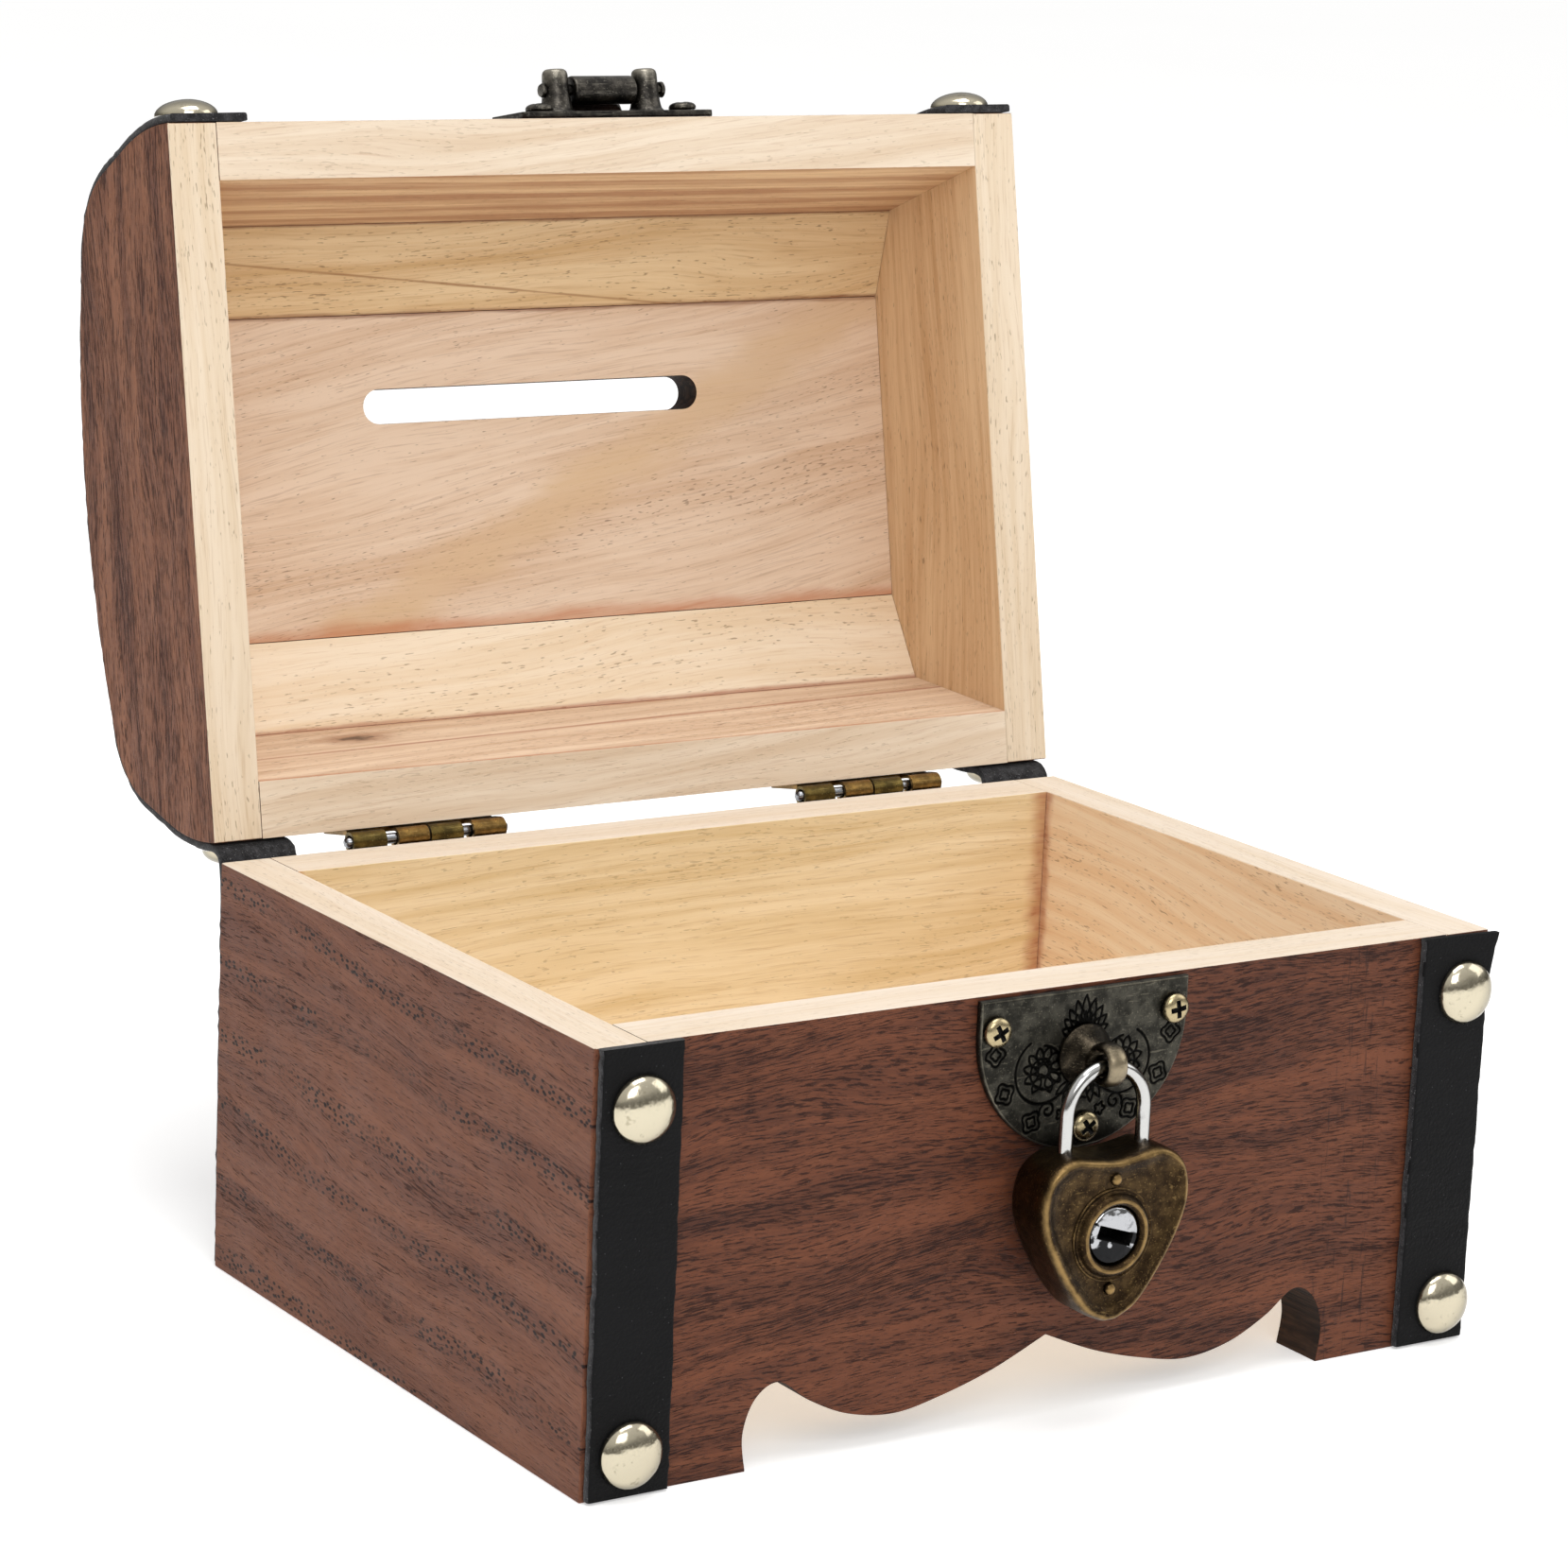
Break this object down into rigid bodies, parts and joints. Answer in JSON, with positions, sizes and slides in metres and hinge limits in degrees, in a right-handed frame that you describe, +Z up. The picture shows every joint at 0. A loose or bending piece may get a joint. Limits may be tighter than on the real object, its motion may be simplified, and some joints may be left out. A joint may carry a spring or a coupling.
{
  "type": "money box",
  "caption": "Wooden money box with a barrel lid that has a coin slot, leather straps, a hasp and a heart padlock.",
  "frame": {"origin": "on the floor, under the middle of the whole object, lid open", "axes": "+X to the box's right as seen from the front, +Y to the back where the lid is hinged, +Z up"},
  "size_m": [0.15, 0.1695, 0.1739],
  "materials": {
    "walnut_stain": "reddish-brown stain, open grain",
    "bare_wood": "unfinished",
    "pink_wood": "unfinished inside, stained outside",
    "tan_wood": "unfinished inside, stained outside",
    "black_leather": "fine grain, satin",
    "pale_nickel": "polished, warm",
    "dark_pewter": "antiqued, worn bright at the edges",
    "dark_iron": "antiqued",
    "antique_brass": "antiqued",
    "grey_steel": "satin",
    "bright_nickel": "polished",
    "pale_brass": "bright"
  },
  "bodies": {
    "box": {"base_back_panel": "walnut_stain", "base_floor_board": "bare_wood", "base_front_panel": "walnut_stain", "base_left_panel": "walnut_stain", "base_right_panel": "walnut_stain", "left_base_back_foot_nail": "pale_nickel", "left_base_back_top_nail": "pale_nickel", "left_base_front_foot_nail": "pale_nickel", "left_base_front_top_nail": "pale_nickel", "left_hinge_base_leaf": "antique_brass", "left_hinge_base_nail_1": "antique_brass", "left_hinge_base_nail_2": "antique_brass", "left_hinge_pin": "grey_steel", "left_strap_base_back": "black_leather", "left_strap_base_front": "black_leather", "lock_plate": "dark_pewter", "lock_plate_left_screw": "pale_brass", "lock_plate_low_screw": "pale_brass", "lock_plate_right_screw": "pale_brass", "right_base_back_foot_nail": "pale_nickel", "right_base_back_top_nail": "pale_nickel", "right_base_front_foot_nail": "pale_nickel", "right_base_front_top_nail": "pale_nickel", "right_hinge_base_leaf": "antique_brass", "right_hinge_base_nail_1": "antique_brass", "right_hinge_base_nail_2": "antique_brass", "right_hinge_pin": "grey_steel", "right_strap_base_back": "black_leather", "right_strap_base_front": "black_leather", "staple": "dark_pewter"},
    "lid": {"hasp_left_screw": "dark_iron", "hasp_pin": "dark_iron", "hasp_plate": "dark_iron", "hasp_right_screw": "dark_iron", "left_hinge_lid_leaf": "antique_brass", "left_hinge_lid_nail_1": "antique_brass", "left_hinge_lid_nail_2": "antique_brass", "left_lid_back_nail": "pale_nickel", "left_lid_front_nail": "pale_nickel", "left_strap_lid": "black_leather", "lid_back_rail": "walnut_stain", "lid_back_slope": "bare_wood", "lid_crown_plank": "pink_wood", "lid_front_rail": "walnut_stain", "lid_front_slope": "tan_wood", "lid_left_end": "walnut_stain", "lid_right_end": "walnut_stain", "right_hinge_lid_leaf": "antique_brass", "right_hinge_lid_nail_1": "antique_brass", "right_hinge_lid_nail_2": "antique_brass", "right_lid_back_nail": "pale_nickel", "right_lid_front_nail": "pale_nickel", "right_strap_lid": "black_leather"},
    "hasp": {"hasp_leaf": "dark_iron"},
    "shackle": {"padlock_shackle": "bright_nickel"},
    "padlock": {"padlock_body": "antique_brass", "padlock_upper_rivet": "antique_brass", "padlock_lower_rivet": "antique_brass"},
    "plug": {"padlock_plug": "bright_nickel"}
  },
  "joints": [
    {"name": "lid_hinge", "type": "hinge", "parent": "box", "child": "lid", "pos_m": [0, 0.0349, 0.0622], "axis": [1, 0, 0], "range_deg": [-15, 100.5]},
    {"name": "hasp_hinge", "type": "hinge", "parent": "lid", "child": "hasp", "pos_m": [0.0022, 0.06207, 0.17036], "axis": [1, 0, 0], "range_deg": [0, 210.4]},
    {"name": "padlock_swing", "type": "hinge", "parent": "box", "child": "shackle", "pos_m": [0.0022, -0.0804, 0.0518], "axis": [1, 0, 0], "range_deg": [-60, 1.5]},
    {"name": "shackle_release", "type": "slide", "parent": "shackle", "child": "padlock", "axis": [0, 0, -1], "range_m": [0, 0.0045]},
    {"name": "key_turn", "type": "hinge", "parent": "padlock", "child": "plug", "pos_m": [0.0022, -0.0804, 0.0288], "axis": [0, 1, 0], "range_deg": [0, 90]}
  ]
}
